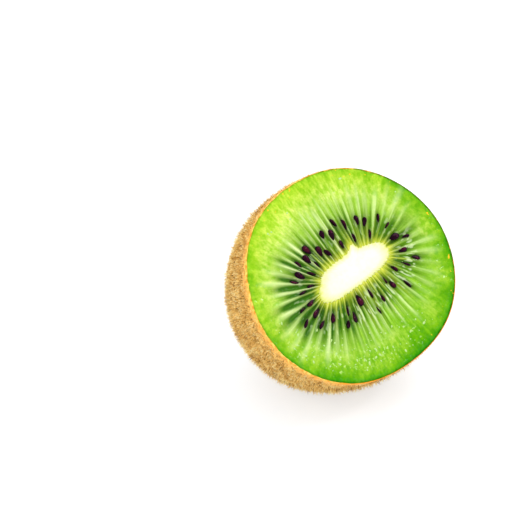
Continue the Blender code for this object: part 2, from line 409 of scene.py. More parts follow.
# the grain group in a material, as a bump with its height in metres
def grainBump(tree, size, bubbles, strength, distance):
    inputs = {"Size": size, "Bubbles": bubbles}
    height = putNode(tree, "ShaderNodeGroup", inputs, node_tree=grainGroup).outputs["Height"]
    inputs = {"Height": height, "Strength": strength, "Distance": distance}
    return putNode(tree, "ShaderNodeBump", inputs).outputs["Normal"]


# a material, its nodes and its shader, with these values on the shader's sockets
def newMaterial(name, sockets):
    material = bpy.data.materials.new(name)
    material.use_nodes = True
    shader = material.node_tree.nodes["Principled BSDF"]
    for key, value in sockets.items():
        shader.inputs[key].default_value = value
    return material, material.node_tree, shader


# the colour and, where it is given, the grain of a surface: size, bubbles, strength and height in metres
def dress(tree, shader, colour, grain=None):
    tree.links.new(colour, shader.inputs["Base Color"])
    if grain:
        tree.links.new(grainBump(tree, *grain), shader.inputs["Normal"])


# The cut face and the green flesh under it
cutFace = {
    "around": 640,
    "rings": 115,
    "holeDepths": (1.0, 0.8, 0.5, 0.2),  # rings of the hole under the core, shares of its depth
    "sideTurns": (3, 8, 14, 21, 29, 38, 48, 58, 68, 75, 80, 84, 87, 89),  # rings under the skin, in degrees
    "underCore": 0.0001,  # how far the flesh runs on under the core, inwards and down
    "hollowNearSeed": 0.00010,
    "fibreRelief": 0.00005,
    "ridge": 0.00006,
    "lumps": 0.00006,
    "lumpSize": 0.0008,
    "rimDrop": 0.00022,
    "rimStart": 0.965,
    "grids": {  # noises: waves round the face and outwards, seed and layers
        "wander": (9.0, 3.0, 11, 1),
        "fibres": (62.0, 2.2, 23, 2),
        "fineFibres": (136.4, 4.0, 31, 1),
        "cells": (36.0, 17.0, 37, 3),
        "fringe": (16.0, 0.0, 67, 1),
        "paintedGleams": (34.0, 10.0, 71, 3),
    },
    "fibreFade": 0.8,  # how much of the fibres is gone at the rim
    "fibreSpan": (0.42, 0.78),  # shares where they fade
    "fibreGain": 0.7,  # how much stronger they are at the core
    "gainSpan": (0.1, 0.5),
    "chamberStart": (0.0004, 0.0024),  # metres from the core
    "chamberEnd": (0.0076, 0.0112),
    "chamberFade": 0.0045,
    "chamberDark": (0.45, 1.0),
    "longerLeft": 0.45,  # how much longer the chambers are at the core's ends
    "longerRight": 0.15,
    "darkerEnds": 0.6,
    "deepLeft": 0.42,  # how much of the chambers' green lies over the whole of its left end
    "leftSpan": (0.0, 0.2, 0.45, 0.70),  # shares where it starts and fades there
    "raySharpness": (7, 5.2),  # at the core, and how much of it is lost on the way out
    "rayWidens": (0.0015, 0.0085),
    "rayEnd": (0.0120, 0.0172),
    "rayFade": 0.005,
    "rayPale": (0.25, 1.0),
    "rayThin": (0.6, 1.6),
    "rayDim": 0.5,  # how much the rays are weaker at its right end
    "rayDimBelow": 0.35,
    "gleamSpan": (0.0012, 0.003, 0.006, 0.0095),  # where the painted highlights among the seeds start and fade
    "gleamLevel": (0.60, 0.71),
    "haloSize": 2.8,  # squared reach of a seed's halo, in the seed's own half sizes
    "paleTowards": (-0.22, 0.97),  # the side painted paler, as if lit from there
    "wetTowards": (-0.37, -0.93),  # the side with the most juice
    "paintedGleamTowards": (0.30, -0.95),  # the side whose seeds carry the most painted highlights
    "gleamReach": 0.014,
    "draw": 5,
}

skinShell = {"thickness": 0.00024, "uneven": 0.00020, "overlap": 0.00012, "edgeHeight": 0.00008}

seedShape = {
    "count": 50,
    "crowding": 0.22,
    "rows": (0.0062, 0.0028, 0.0048),  # metres from the core
    "length": 0.0026,
    "width": 0.0015,
    "thickness": 0.0007,
    "stand": 0.00022,  # height of their tops above the face
    "point": 0.30,
    "jitter": 0.06,
    "rowJitter": 0.0009,
    "sizes": (0.74, 1.10),
    "skew": 0.25,
    "clearance": 0.0018,  # least distance between two of them
    "draw": 1213,
}


# place on the level cut face: a share of the way from the core's outline to just inside the skin's outer side
def facePlace(turn, share, grow=coreShape["gap"]):
    inner = coreOutline(turn, grow)
    outer = fruitPoint(crowded(turn), 1 - 2 * skinShell["overlap"] / fruit["long"], 0.0)[..., :2]
    return inner + (outer - inner) * np.asarray(share)[..., None]


# seeds: (place, heading, size, roll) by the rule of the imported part: rows round the core, closer together at
# its left end, each seed turned about its long axis; one that comes too near an earlier one is left out
def placeSeeds():
    rng = np.random.default_rng(seedShape["draw"])
    count = seedShape["count"]
    even = evenAngles(count)
    jitter = rng.uniform(-seedShape["jitter"], seedShape["jitter"], count)
    turns = even + seedShape["crowding"] * np.sin(even) + jitter
    rowJitter = rng.uniform(-seedShape["rowJitter"], seedShape["rowJitter"], count)
    distances = np.resize(seedShape["rows"], count) + rowJitter
    sizes = rng.uniform(*seedShape["sizes"], count)
    skews = rng.uniform(-seedShape["skew"], seedShape["skew"], count)
    rolls = rng.uniform(-math.pi / 2, math.pi / 2, count)
    seeds = []
    for turn, distance, size, skew, roll in zip(turns, distances, sizes, skews, rolls):
        inner, outer = facePlace(turn, 0.0), facePlace(turn, 1.0)
        away = (outer - inner) / math.dist(inner, outer)
        place = inner + away * distance
        if all(math.dist(place, other[0]) >= seedShape["clearance"] for other in seeds):
            seeds.append((place, math.atan2(away[1], away[0]) + skew, size, roll))
    return seeds


# noise of the cut face from 0 to 1, on the grid of that name
def faceNoise(ring, name):
    around, out, seed, layers = cutFace["grids"][name]
    return roughNoise(ring * [around, around, out], 1.0, seed, layers)


# 0 before the first and after the last of four places, 1 between the middle two, with eased steps
def stretchOf(places, x):
    start, full, fading, end = places
    return smoothStep(start, full, x) * (1 - smoothStep(fading, end, x))


# dark chamber between two walls and pale ray on a wall: powers of a cosine that has one wave for each chamber
# and wanders a little, each with its own drawn length and strength; out is metres from the core
def chambersAndRays(turn, ring, share, out):
    rng = np.random.default_rng(cutFace["draw"])
    count = locules["count"]
    phase = count * turn + (faceNoise(ring, "wander") - 0.5) * 2.0
    wall = 0.5 + 0.5 * np.cos(phase)
    chamberOf = np.floor(phase / (2 * math.pi)).astype(int) % count
    wallOf = np.rint(phase / (2 * math.pi)).astype(int) % count
    across = np.cos(turn)
    longer = np.where(across < 0, cutFace["longerLeft"], cutFace["longerRight"]) * across**2
    reach = out / (1 + longer)
    chamberEnd = rng.uniform(*cutFace["chamberEnd"], count)[chamberOf]
    chamberDark = rng.uniform(*cutFace["chamberDark"], count)[chamberOf]
    chamberDark = np.minimum(1.0, chamberDark * (1 + cutFace["darkerEnds"] * longer))
    rayEnd = rng.uniform(*cutFace["rayEnd"], count)[wallOf]
    rayPale = rng.uniform(*cutFace["rayPale"], count)[wallOf]
    rayThin = rng.uniform(*cutFace["rayThin"], count)[wallOf]
    begun = smoothStep(*cutFace["chamberStart"], out)
    deep = begun * (1 - smoothStep(chamberEnd - cutFace["chamberFade"], chamberEnd, reach))
    chamber = (1 - wall) ** 0.8 * deep * chamberDark
    leftEnd = np.maximum(0.0, -across) ** 2 * stretchOf(cutFace["leftSpan"], share)
    sharp, lost = cutFace["raySharpness"]
    sharpness = (sharp - lost * smoothStep(*cutFace["rayWidens"], reach)) * rayThin
    tip = 1 - smoothStep(rayEnd - cutFace["rayFade"], rayEnd, out)
    ray = wall**sharpness * tip * smoothStep(0.0, 0.0008, out) * (0.6 + 0.4 * smoothStep(0.003, 0.009, out))
    ray *= rayPale * (1 - cutFace["rayDim"] * smoothStep(0.2, 0.9, across))
    ray *= 1 - cutFace["rayDimBelow"] * smoothStep(0.2, 0.9, -np.sin(turn))
    return np.clip(chamber + cutFace["deepLeft"] * leftEnd, 0, 1), ray


# fibres that run outwards and fade, and cells that take over from them: noise on grids that are fine round
# the face and coarse outwards
def fibresAndCells(ring, share):
    mixed = 0.6 * faceNoise(ring, "fibres") + 0.4 * faceNoise(ring, "fineFibres")
    gone = smoothStep(*cutFace["fibreSpan"], share)
    strength = 1 - cutFace["fibreFade"] * gone
    strength = strength * (1 + cutFace["fibreGain"] * (1 - smoothStep(*cutFace["gainSpan"], share)))
    cells = np.clip(0.5 + 2.2 * (faceNoise(ring, "cells") - 0.5) * gone, 0, 1)
    return 0.5 + (mixed - 0.5) * strength, cells


# darker flesh with painted shade round each seed: a bell over the seed's own oval
def seedHalo(place, seeds):
    halo = np.zeros(place.shape[:-1])
    for spot, heading, size, roll in seeds:
        halfLong = 0.5 * seedShape["length"] * size
        width, thickness = seedShape["width"], seedShape["thickness"]
        halfWide = size / 2 * math.hypot(width * math.cos(roll), thickness * math.sin(roll))
        along = (place - spot) @ [math.cos(heading), math.sin(heading)] / halfLong
        beside = (place - spot) @ [-math.sin(heading), math.cos(heading)] / halfWide
        halo = np.maximum(halo, np.exp(-(((along**2 + beside**2) / cutFace["haloSize"]) ** 1.5)))
    return halo


# patterns of the cut face at a turn and share, for its relief and its colours: chambers, rays, fibres, cells,
# painted highlights among the seeds, the share with a waver for the core's fringe, darker flesh with painted
# shade round the seeds, the side painted paler as if lit, and the wetter side
def facePatterns(turn, share, seeds):
    ring = np.stack(np.broadcast_arrays(np.cos(turn), np.sin(turn), share), -1)
    place = facePlace(turn, share)
    out = np.linalg.norm(facePlace(turn, 1.0) - facePlace(turn, 0.0), axis=-1) * share
    chamber, ray = chambersAndRays(turn, ring, share, out)
    fibre, cells = fibresAndCells(ring, share)
    # painted highlights: pale patches among the seeds in place of glints of juice
    paintedGleam = smoothStep(*cutFace["gleamLevel"], faceNoise(ring, "paintedGleams"))
    paintedGleam = paintedGleam * stretchOf(cutFace["gleamSpan"], out)
    paintedGleam *= 0.40 + 0.60 * smoothStep(0.1, 0.7, place @ cutFace["paintedGleamTowards"] / cutFace["gleamReach"])
    # painted light: paler towards the lit side, with cloudy noise laid over it
    paler = 0.5 + 0.5 * place @ cutFace["paleTowards"] / (fruit["short"] / 2)
    wetter = 0.5 + 0.5 * place @ cutFace["wetTowards"] / (fruit["short"] / 2)
    return {
        "chamber": chamber,
        "ray": ray,
        "fibre": fibre,
        "cells": cells,
        "paintedGleam": paintedGleam,
        "inside": share * (0.45 + 1.1 * faceNoise(ring, "fringe")),
        "halo": seedHalo(place, seeds),
        "pale": np.clip(paler + 0.9 * (roughNoise(raised(place), 0.006, 43) - 0.5), 0, 1),
        "wet": np.clip(wetter + 0.9 * (roughNoise(raised(place), 0.003, 47) - 0.5), 0, 1),
    }


# height of the cut face: sunk in the chambers, ridged on the walls, streaked by fibres, lumpy where it is
# wet, hollow round the seeds and dropping to the skin
def faceHeight(turn, share, patterns):
    sunk = stretchOf((0.0, locules["start"], locules["fade"], locules["end"]), share)
    wall = 0.5 + 0.5 * np.cos(locules["count"] * turn)
    height = -locules["depth"] * sunk * (1 - wall)
    height = height + cutFace["ridge"] * patterns["ray"]
    height += cutFace["fibreRelief"] * (patterns["fibre"] - 0.5) * 2
    lumps = signedNoise(raised(facePlace(turn, share)), cutFace["lumpSize"], 41)
    height += cutFace["lumps"] * (lumps * (0.5 + patterns["wet"]) + patterns["cells"] - 0.5)
    height -= cutFace["hollowNearSeed"] * patterns["halo"]
    return height - cutFace["rimDrop"] * smoothStep(cutFace["rimStart"], 1.0, share)


fleshLook = {
    "surface": {
        "Roughness": 0.45,
        "IOR": 1.36,
        "Specular IOR Level": 0.05,
        "Coat Roughness": 0.10,
        "Coat IOR": 1.4,
        "Subsurface Weight": 0.12,
        "Subsurface Radius": (0.6, 1.0, 0.25),
        "Subsurface Scale": 0.0008,
    },
    # painted light: deep green on the side away from the light, pale green on the lit side
    "shadedDeepGreen": (0.18, 0.47, 0.002),
    "paleGreen": (0.55, 0.76, 0.085),
    "cells": [(0.15, (0.72, 0.87, 0.45)), (0.85, (1.20, 1.07, 1.7))],
    "clouds": [(0.0, (0.86, 0.94, 0.7)), (1.0, (1.08, 1.03, 1.3))],
    "smallClouds": [(0.0, (0.93, 0.96, 0.9)), (1.0, (1.12, 1.06, 1.4))],
    "lessBlue": [(0.6, (1.0, 1.0, 1.0)), (1.0, (1.0, 1.0, 0.25))],
    "fringe": [
        (0.00, (0.60, 0.65, 0.060)),
        (0.05, (0.40, 0.48, 0.025)),
        (0.12, (0.28, 0.39, 0.018)),
        (0.30, (0.15, 0.34, 0.006)),
        (0.55, (0.20, 0.46, 0.006)),
    ],
    "rim": [
        (0.68, (1.0, 1.0, 1.0)),
        (0.84, (0.74, 0.88, 0.55)),
        (0.92, (0.52, 0.77, 0.13)),
        (0.965, (0.25, 0.67, 0.05)),
        (0.985, (0.07, 0.48, 0.01)),
        (1.0, (0.14, 0.38, 0.01)),
    ],
    # how much of the rim's darker green stays on the side painted paler as lit
    "rimOnLitSide": 0.42,
    "tints": {  # strength and colour
        "chamber": (0.96, (0.026, 0.13, 0.002)),
        # halo: darker flesh with painted shade round each seed
        "halo": (0.75, (0.025, 0.065, 0.004)),
        "ray": (0.9, (0.74, 0.87, 0.34)),
    },
    "fibres": [(0.25, (0.58, 0.68, 0.40)), (0.74, (1.30, 1.20, 1.8))],
    # painted highlights among the seeds
    "paintedGleam": (0.75, (0.68, 0.82, 0.44)),
    # specks: partly paler cells, partly painted highlights of wet glints
    "specks": (0.80, (0.62, 0.84, 0.28)),
    "flecks": (0.95, 0.50, 0.02),
    "film": 0.65,
    "mottles": {  # size, low, high and, where it isn't 2, detail
        "clouds": (0.0016, 0.32, 0.68),
        "smallClouds": (0.0004, 0.35, 0.70),
        "specks": (0.00075, 0.60, 0.76, 1.0),
        "flecks": (0.0008, 0.70, 0.73, 1.0),
        "film": (0.0006, 0.50, 0.62),
    },
    "grain": (0.00045, 0.6, 0.7, 0.00012),
}


# flesh's look: the core's fringe mixed by the share into a green that is painted paler on its lit side and
# deeper at the rim, then the tints of the face's patterns with painted shade round the seeds and painted
# highlights among them, specks that are partly painted highlights, flecks, and a film of juice on the wet side
def fleshMaterial():
    look = fleshLook
    material, tree, shader = newMaterial("wetGreenFlesh", look["surface"])
    share, pale, wet = (readValue(tree, name) for name in ("share", "pale", "wet"))
    # painted light: the green turns paler towards the lit side
    outer = mixColour(tree, pale, look["shadedDeepGreen"], look["paleGreen"])
    outer = shadeBy(tree, outer, readValue(tree, "cells"), look["cells"])
    for name in ("clouds", "smallClouds"):
        outer = shadeBy(tree, outer, mottle(tree, *look["mottles"][name]), look[name])
    outer = shadeBy(tree, outer, share, look["lessBlue"])
    inner = colourRamp(tree, readValue(tree, "inside"), look["fringe"])
    colour = mixColour(tree, stepValue(tree, share, 0.2, 0.75), inner, outer)
    # the rim's darker green, weaker on the side painted paler as lit
    colour = shadeBy(tree, colour, share, look["rim"], scaleValue(tree, pale, 1.0, look["rimOnLitSide"]))
    for name, (strength, tint) in look["tints"].items():
        colour = tintBy(tree, colour, readValue(tree, name), strength, tint)
    colour = shadeBy(tree, colour, readValue(tree, "fibre"), look["fibres"])
    # painted highlights among the seeds
    colour = tintBy(tree, colour, readValue(tree, "paintedGleam"), *look["paintedGleam"])
    # white specks on the outer, wet part of the face: partly paler cells, partly painted highlights of wet
    # glints
    specks = multiply(tree, stepValue(tree, share, 0.5, 0.7), stepValue(tree, share, 0.93, 0.86))
    specks = multiply(tree, mottle(tree, *look["mottles"]["specks"]), specks)
    specks = multiply(tree, specks, stepValue(tree, wet, 0.70, 0.98))
    colour = tintBy(tree, colour, specks, *look["specks"])
    # scraps of skin along the rim, where it isn't wet
    flecks = multiply(tree, mottle(tree, *look["mottles"]["flecks"]), stepValue(tree, share, 0.86, 0.93))
    flecks = multiply(tree, flecks, stepValue(tree, wet, 0.75, 0.55))
    dress(tree, shader, mixColour(tree, flecks, colour, look["flecks"]), look["grain"])
    film = multiply(tree, mottle(tree, *look["mottles"]["film"]), stepValue(tree, wet, 0.2, 1.0))
    tree.links.new(scaleValue(tree, film, 0.0, look["film"]), shader.inputs["Coat Weight"])
    return material


# flesh: rings up the hole under the core, outwards over the cut face and down under the skin to the stem end
def makeFlesh(seeds):
    turn = evenAngles(cutFace["around"])[None, :]
    share = np.linspace(0.0, 1.0, cutFace["rings"])[:, None]
    under = cutFace["underCore"]
    patterns = facePatterns(turn, share, seeds)
    height = faceHeight(turn, share, patterns) - under * (1 - smoothStep(0.0, 0.02, share))
    face = raised(facePlace(turn, share, -under), height)
    depths = coreShape["depth"] * np.array(cutFace["holeDepths"])
    hole = np.stack([coreRing(turn[0], depth, -under) for depth in depths])
    radius, depth = domeShares(np.radians(cutFace["sideTurns"])[:, None])
    inset = 1 - 2 * skinShell["overlap"] / fruit["long"]
    side = underSkin(crowded(turn), radius, depth, inset)
    rings = np.concatenate([hole, face, side])[None]
    values = {}
    for key, pattern in {"share": np.broadcast_to(share, face.shape[:2]), **patterns}.items():
        edge = 1.0 if key == "share" else 0.0
        low = np.zeros(hole.shape[:2])
        high = np.full(side.shape[:2], edge)
        values[key] = (0.0, np.concatenate([low, pattern, high]), edge)
    bottom = raised(np.array([coreShape["middle"]]) * coreShape["tip"], -coreShape["depth"] - 2 * under)
    end = underSkin(0.0, 0.0, 1.0, inset).reshape(1, 3)
    addPiece("fleshCut", bottom, rings, end, fleshMaterial(), ["flesh"], values)


# The pale core
coreDetail = {
    "around": 400,
    "rings": 34,
    "columnDepths": (0.01, 0.3, 0.6, 0.85, 0.98),
    "endDepth": 0.985,
    "relief": 0.00006,
    "fibreWaves": (60.0, 60.0, 3.0),
    "surface": {
        "Roughness": 0.45,
        "IOR": 1.36,
        "Coat Weight": 0.25,
        "Coat Roughness": 0.15,
        "Subsurface Weight": 0.3,
        "Subsurface Radius": (1.0, 0.95, 0.6),
        "Subsurface Scale": 0.0015,
    },
    "colours": [
        (0.0, (0.90, 0.90, 0.76)),
        (0.70, (0.88, 0.90, 0.66)),
        (0.88, (0.80, 0.84, 0.36)),
        (1.0, (0.62, 0.67, 0.10)),
    ],
    "clouds": (0.45, (0.90, 0.92, 0.60)),
    "mottle": (0.0011, 0.40, 0.66),
    "grain": (0.0006, 0.3, 0.35, 0.0001),
}


# core's look: cream that turns green towards its edge, with soft clouds
def coreMaterial():
    material, tree, shader = newMaterial("creamCore", coreDetail["surface"])
    colour = colourRamp(tree, readValue(tree, "share"), coreDetail["colours"])
    colour = tintBy(tree, colour, mottle(tree, *coreDetail["mottle"]), *coreDetail["clouds"])
    dress(tree, shader, colour, coreDetail["grain"])
    return material


# core: rings that shrink to its middle, crowned by 1 less the ring's share squared, with shallow fibres, and
# its sections down to the lower end
def makeCore():
    turn = evenAngles(coreDetail["around"])[None, :]
    share = np.linspace(0.02, 1.0, coreDetail["rings"])[:, None]
    middle = np.array(coreShape["middle"])
    place = middle + (coreOutline(turn) - middle) * share[..., None]
    ring = np.stack(np.broadcast_arrays(np.cos(turn), np.sin(turn), share), -1)
    fibres = coreDetail["relief"] * (blendNoise(ring * coreDetail["fibreWaves"], 1.0, 7) - 0.5) * share
    top = raised(place, coreShape["crown"] * (1 - share**2) + fibres)
    depths = coreShape["depth"] * np.array(coreDetail["columnDepths"])
    column = np.stack([coreRing(turn[0], depth) for depth in depths])
    rings = np.concatenate([top, column])[None]
    shares = np.concatenate([np.broadcast_to(share, top.shape[:2]), np.ones(column.shape[:2])])
    first = raised(middle[None], coreShape["crown"])
    last = raised(middle[None] * coreShape["tip"], -coreShape["depth"] * coreDetail["endDepth"])
    values = {"share": (0.0, shares, 1.0)}
    addPiece("paleCore", first, rings, last, coreMaterial(), ["core"], values)


# Seeds
seedDetail = {
    "around": 20,
    "rings": 13,
    "beak": 0.10,
    "toneDraw": 3,
    "surface": {
        "Roughness": 0.14,
        "IOR": 1.45,
        "Specular IOR Level": 0.2,
        "Specular Tint": (1.0, 0.30, 0.65, 1.0),
    },
    "colours": [(0.0, (0.003, 0.0004, 0.002)), (0.6, (0.008, 0.001, 0.005)), (1.0, (0.045, 0.003, 0.008))],
    "patches": (0.5, (0.09, 0.004, 0.030)),
    # painted shade, low on the seed where it meets the flesh
    "edge": (0.0015, 0.0002, 0.001),
    "mottle": (0.0007, 0.48, 0.75),
    "grain": (0.00025, 0.8, 0.25, 0.00003),
}


# seed's look: its own dark tone with dark red patches, and painted shade making it near black where it sinks
# into the flesh
def seedMaterial():
    material, tree, shader = newMaterial("darkSeed", seedDetail["surface"])
    colour = colourRamp(tree, readValue(tree, "tone"), seedDetail["colours"])
    colour = tintBy(tree, colour, mottle(tree, *seedDetail["mottle"]), *seedDetail["patches"])
    # painted shade: near black low on the seed, where it sits in the flesh
    top = stepValue(tree, readValue(tree, "lift"), 0.30, 0.85)
    dress(tree, shader, mixColour(tree, top, seedDetail["edge"], colour), seedDetail["grain"])
    return material


# seed: rings of a ball squeezed to the seed's sizes, narrower towards the core and drawn out there to a beak
def makeSeeds(seeds):
    turn = np.linspace(-1, 1, seedDetail["rings"] + 2)[1:-1] * math.pi / 2
    along = np.sin(turn)
    girth = np.cos(turn) * (1 + seedShape["point"] * along)
    along = along - seedDetail["beak"] * np.maximum(0.0, -along) ** 4
    angle = evenAngles(seedDetail["around"])
    shape = np.stack(np.broadcast_arrays(
        along[:, None] * seedShape["length"] / 2,
        girth[:, None] * np.cos(angle) * seedShape["width"] / 2,
        girth[:, None] * np.sin(angle) * seedShape["thickness"] / 2,
    ), -1)
    ends = np.array([[-(1 + seedDetail["beak"]), 0, 0], [1, 0, 0]]) * seedShape["length"] / 2
    spots, headings, sizes, rolls = (np.array(column) for column in zip(*seeds))
    turns = np.array([
        Matrix.Rotation(heading, 3, "Z") @ Matrix.Rotation(roll, 3, "X")
        for heading, roll in zip(headings, rolls)
    ])
    turns = turns * sizes[:, None, None]
    wide, flat = (sizes * seedShape[key] / 2 for key in ("width", "thickness"))
    places = raised(spots, seedShape["stand"] - np.hypot(wide * np.sin(rolls), flat * np.cos(rolls)))
    rings = np.einsum("sij,mnj->smni", turns, shape) + places[:, None, None]
    first, last = (np.einsum("sij,j->si", turns, end) + places for end in ends)
    tone = np.random.default_rng(seedDetail["toneDraw"]).uniform(0, 1, len(seeds))
    lift = np.clip(rings[..., 2] / seedShape["stand"], 0, 1)
    values = {"tone": (tone, tone[:, None, None], tone), "lift": (0.0, lift, 0.0)}
    addPiece("seeds", first, rings, last, seedMaterial(), ["flesh"], values)


# The skin
skinDetail = {
    "around": 640,
    "sideRings": 92,
    "endRings": 34,
    "innerRings": 12,
    "edgeRings": 7,
    "sideTurns": (1.5, 72),  # degrees from the rim
    "innerTurns": (86, 2),
    "endRadius": 0.0002,
    "edgeDrop": 0.00022,
    "lumps": 0.00014,
    "lumpSize": 0.0035,
    "pores": 0.00007,
    "poreSize": 0.0007,
    "greenTowards": 0.2,  # the side where the cut edge of the skin is stained green
    "orangeTowards": -1.34,  # the side where it is a thin deep orange line
    "thinning": 0.45,  # how much thinner it is there
    "surface": {"Roughness": 0.8, "Specular IOR Level": 0.25},
    "colours": [(0.0, (0.55, 0.29, 0.06)), (0.5, (0.72, 0.42, 0.10)), (1.0, (0.85, 0.56, 0.17))],
    "specks": (0.8, (0.24, 0.10, 0.015)),
    "nearRim": (1.0, 0.46, 0.09),
    "frayed": ((0.72, 0.27, 0.02), (0.95, 0.62, 0.12)),
    "orangeEdge": (0.95, 0.32, 0.006),
    "greenEdge": (0.16, 0.24, 0.008),
    "scar": (0.10, 0.055, 0.025),
    "mottles": {
        "colours": (0.004, 0.25, 0.75, 4.0),
        "specks": (0.0009, 0.50, 0.66, 3.0),
        "nearRim": (0.0010, 0.32, 0.62),
        "frayed": (0.0008, 0.40, 0.60),
    },
    "grain": (0.0005, 0.3, 0.6, 0.0002),
}


# relief of the skin along its normal: rough noise of two sizes
def skinRelief(points):
    lumps = signedNoise(points, skinDetail["lumpSize"], 51) * skinDetail["lumps"]
    pores = signedNoise(points, skinDetail["poreSize"], 57, layers=2) * skinDetail["pores"]
    return lumps + pores


# skin's look: tan with brown specks and orange patches near the rim; the cut edge mixed from two ochres, deep
# orange on one side and green on another; dark brown on the scar
def skinMaterial():
    material, tree, shader = newMaterial("fuzzySkin", skinDetail["surface"])
    masks = {name: mottle(tree, *numbers) for name, numbers in skinDetail["mottles"].items()}
    colour = colourRamp(tree, masks["colours"], skinDetail["colours"])
    colour = tintBy(tree, colour, masks["specks"], *skinDetail["specks"])
    patches = multiply(tree, readValue(tree, "nearRim"), masks["nearRim"])
    colour = mixColour(tree, patches, colour, skinDetail["nearRim"])
    frayed = mixColour(tree, masks["frayed"], *skinDetail["frayed"])
    for name in ("orangeEdge", "greenEdge"):
        frayed = mixColour(tree, readValue(tree, name), frayed, skinDetail[name])
    colour = mixColour(tree, readValue(tree, "cutEdge"), colour, frayed)
    colour = mixColour(tree, readValue(tree, "scar"), colour, skinDetail["scar"])
    dress(tree, shader, colour, skinDetail["grain"])
    return material


# frayed cut edge: half a turn from the skin's inner wall over to its outer side, of an uneven thickness
def skinEdge(angle, orange):
    rim = fruitPoint(angle, 1.0, 0.0)
    uneven = signedNoise(rim, 0.0011, 81)
    thickness = skinShell["thickness"] + skinShell["uneven"] * uneven
    thickness = np.maximum(thickness * (1 - skinDetail["thinning"] * orange), skinShell["overlap"] * 1.2)
    roll = np.linspace(0, math.pi, skinDetail["edgeRings"])[:, None]
    edge = fruitPoint(angle, 1 - thickness * (1 + np.cos(roll)) / fruit["long"], 0.0)
    top = skinShell["edgeHeight"] * (0.6 + 0.8 * blendNoise(rim, 0.0009, 85))
    drop = skinDetail["edgeDrop"]
    edge[..., 2] = -drop + (drop - 0.0001 + top) * np.sin(roll)
    return edge


# outer side: rings by even turns down the dome, then by even radius to the stem end, raised by the relief
def skinOuterSide(angle):
    start, end = np.radians(skinDetail["sideTurns"])
    radius, depth = domeShares(np.linspace(start, end, skinDetail["sideRings"])[:, None])
    lastRadius = radius[-1, 0] * fruit["long"] / 2
    radii = np.linspace(lastRadius, skinDetail["endRadius"], skinDetail["endRings"] + 1)[1:, None]
    endRadius = radii * 2 / fruit["long"]
    endDepth = (1 - endRadius ** fruit["bluntness"]) ** (1 / fruit["bluntness"])
    radius, depth = np.concatenate([radius, endRadius]), np.concatenate([depth, endDepth])
    outer = fruitPoint(angle, radius, depth)
    normal = outwards(unit(np.cross(np.gradient(outer, axis=1), np.gradient(outer, axis=0))), outer)
    return outer + normal * (skinRelief(outer) * smoothStep(0.0, 0.04, depth))[..., None]


# skin: a closed shell, up its inner wall, over the frayed cut edge and down its outer side to the stem end
def makeSkin():
    angle = evenAngles(skinDetail["around"])[None, :]
    inset = 1 - 2 * skinShell["thickness"] / fruit["long"]
    start, end = np.radians(skinDetail["innerTurns"])
    radius, depth = domeShares(np.linspace(start, end, skinDetail["innerRings"])[:, None])
    inner = underSkin(angle, radius, depth, inset)
    orange = smoothStep(0.4, 0.8, np.cos(angle - skinDetail["orangeTowards"]))
    ragged = 0.7 * (blendNoise(fruitPoint(angle, 1.0, 0.0), 0.0012, 91) - 0.5)
    green = smoothStep(0.55, 0.85, np.cos(angle - skinDetail["greenTowards"]) + ragged)
    edge = skinEdge(angle, orange)
    outer = skinOuterSide(angle)
    rings = np.concatenate([inner, edge, outer])
    hidden = np.ones((len(inner) + len(edge), skinDetail["around"]))
    below = -outer[..., 2]
    fromStem = np.hypot(outer[..., 0], outer[..., 1])
    scar = 1 - smoothStep(fruit["scarRadius"], fruit["scarRadius"] + 2 * fruit["scarEdge"], fromStem)
    values = {
        "cutEdge": (1.0, np.concatenate([hidden, 1 - smoothStep(0.0001, 0.0007, below)]), 0.0),
        "nearRim": (1.0, np.concatenate([hidden, 1 - smoothStep(0.0004, 0.0034, below)]), 0.0),
        "greenEdge": (0.0, np.broadcast_to(green, rings.shape[:2]), 0.0),
        "orangeEdge": (0.0, np.broadcast_to(orange, rings.shape[:2]), 0.0),
        "scar": (0.0, np.concatenate([0 * hidden, scar]), 1.0),
    }
    first = underSkin(0.0, 0.0, 1.0, inset).reshape(1, 3)
    last = fruitPoint(0.0, 0.0, 1.0).reshape(1, 3)
    addPiece("skinShell", first, rings[None], last, skinMaterial(), ["flesh"], values)


# Fuzz: kinds of hair on the skin, from a fine down to long stray hairs
fuzzKinds = {
    "fuzzDown": {"count": 16500, "length": (0.0004, 0.0008), "radius": 0.000042, "lean": 1.3, "seed": 61},
    "fuzzShort": {"count": 16500, "length": (0.0006, 0.0011), "radius": 0.000048, "lean": 1.2, "seed": 62},
    "fuzzMiddle": {"count": 12000, "length": (0.0008, 0.0014), "radius": 0.000052, "lean": 1.1, "seed": 63},
    "fuzzLong": {"count": 7000, "length": (0.0012, 0.0025), "radius": 0.000050, "lean": 0.7, "seed": 64},
}

fuzzDetail = {
    "turns": (0.8, 88),  # degrees from the rim
    "combSize": 0.0013,
    "combWidth": 3.4,
    "combScatter": 0.35,
    "lengthAtRim": 0.25,
    "rimZone": (0.0004, 0.0042),  # metres below the cut face
    "sunk": 0.00003,
    "tuftSize": 0.0009,
    "tuftContrast": 1.8,
    "tone": 0.51,
    "toneScatter": 0.22,
    "surface": {"Roughness": 0.6, "Specular IOR Level": 0.3},
    "colours": [
        (0.0, (0.28, 0.12, 0.018)),
        (0.3, (0.76, 0.44, 0.09)),
        (0.65, (1.00, 0.74, 0.25)),
        (1.0, (1.00, 0.90, 0.47)),
    ],
}


# fuzz's look: from brown to pale gold by the tone that each hair carries
def fuzzMaterial():
    material, tree, shader = newMaterial("goldenFuzz", fuzzDetail["surface"])
    dress(tree, shader, colourRamp(tree, readValue(tree, "tone"), fuzzDetail["colours"]))
    return material


# turns from the rim, drawn so that the hairs are spread evenly over the dome: the running sum of its arc
# times its radius, read backwards
def drawTurns(rng, count):
    start, end = np.radians(fuzzDetail["turns"])
    table = np.linspace(start, end, 400)
    radius, depth = domeShares(table)
    meanRadius = 0.026
    arc = np.hypot(np.gradient(radius) * meanRadius, np.gradient(depth) * fruit["depth"]) * radius
    return np.interp(rng.uniform(0, 1, count), np.cumsum(arc) / arc.sum(), table)


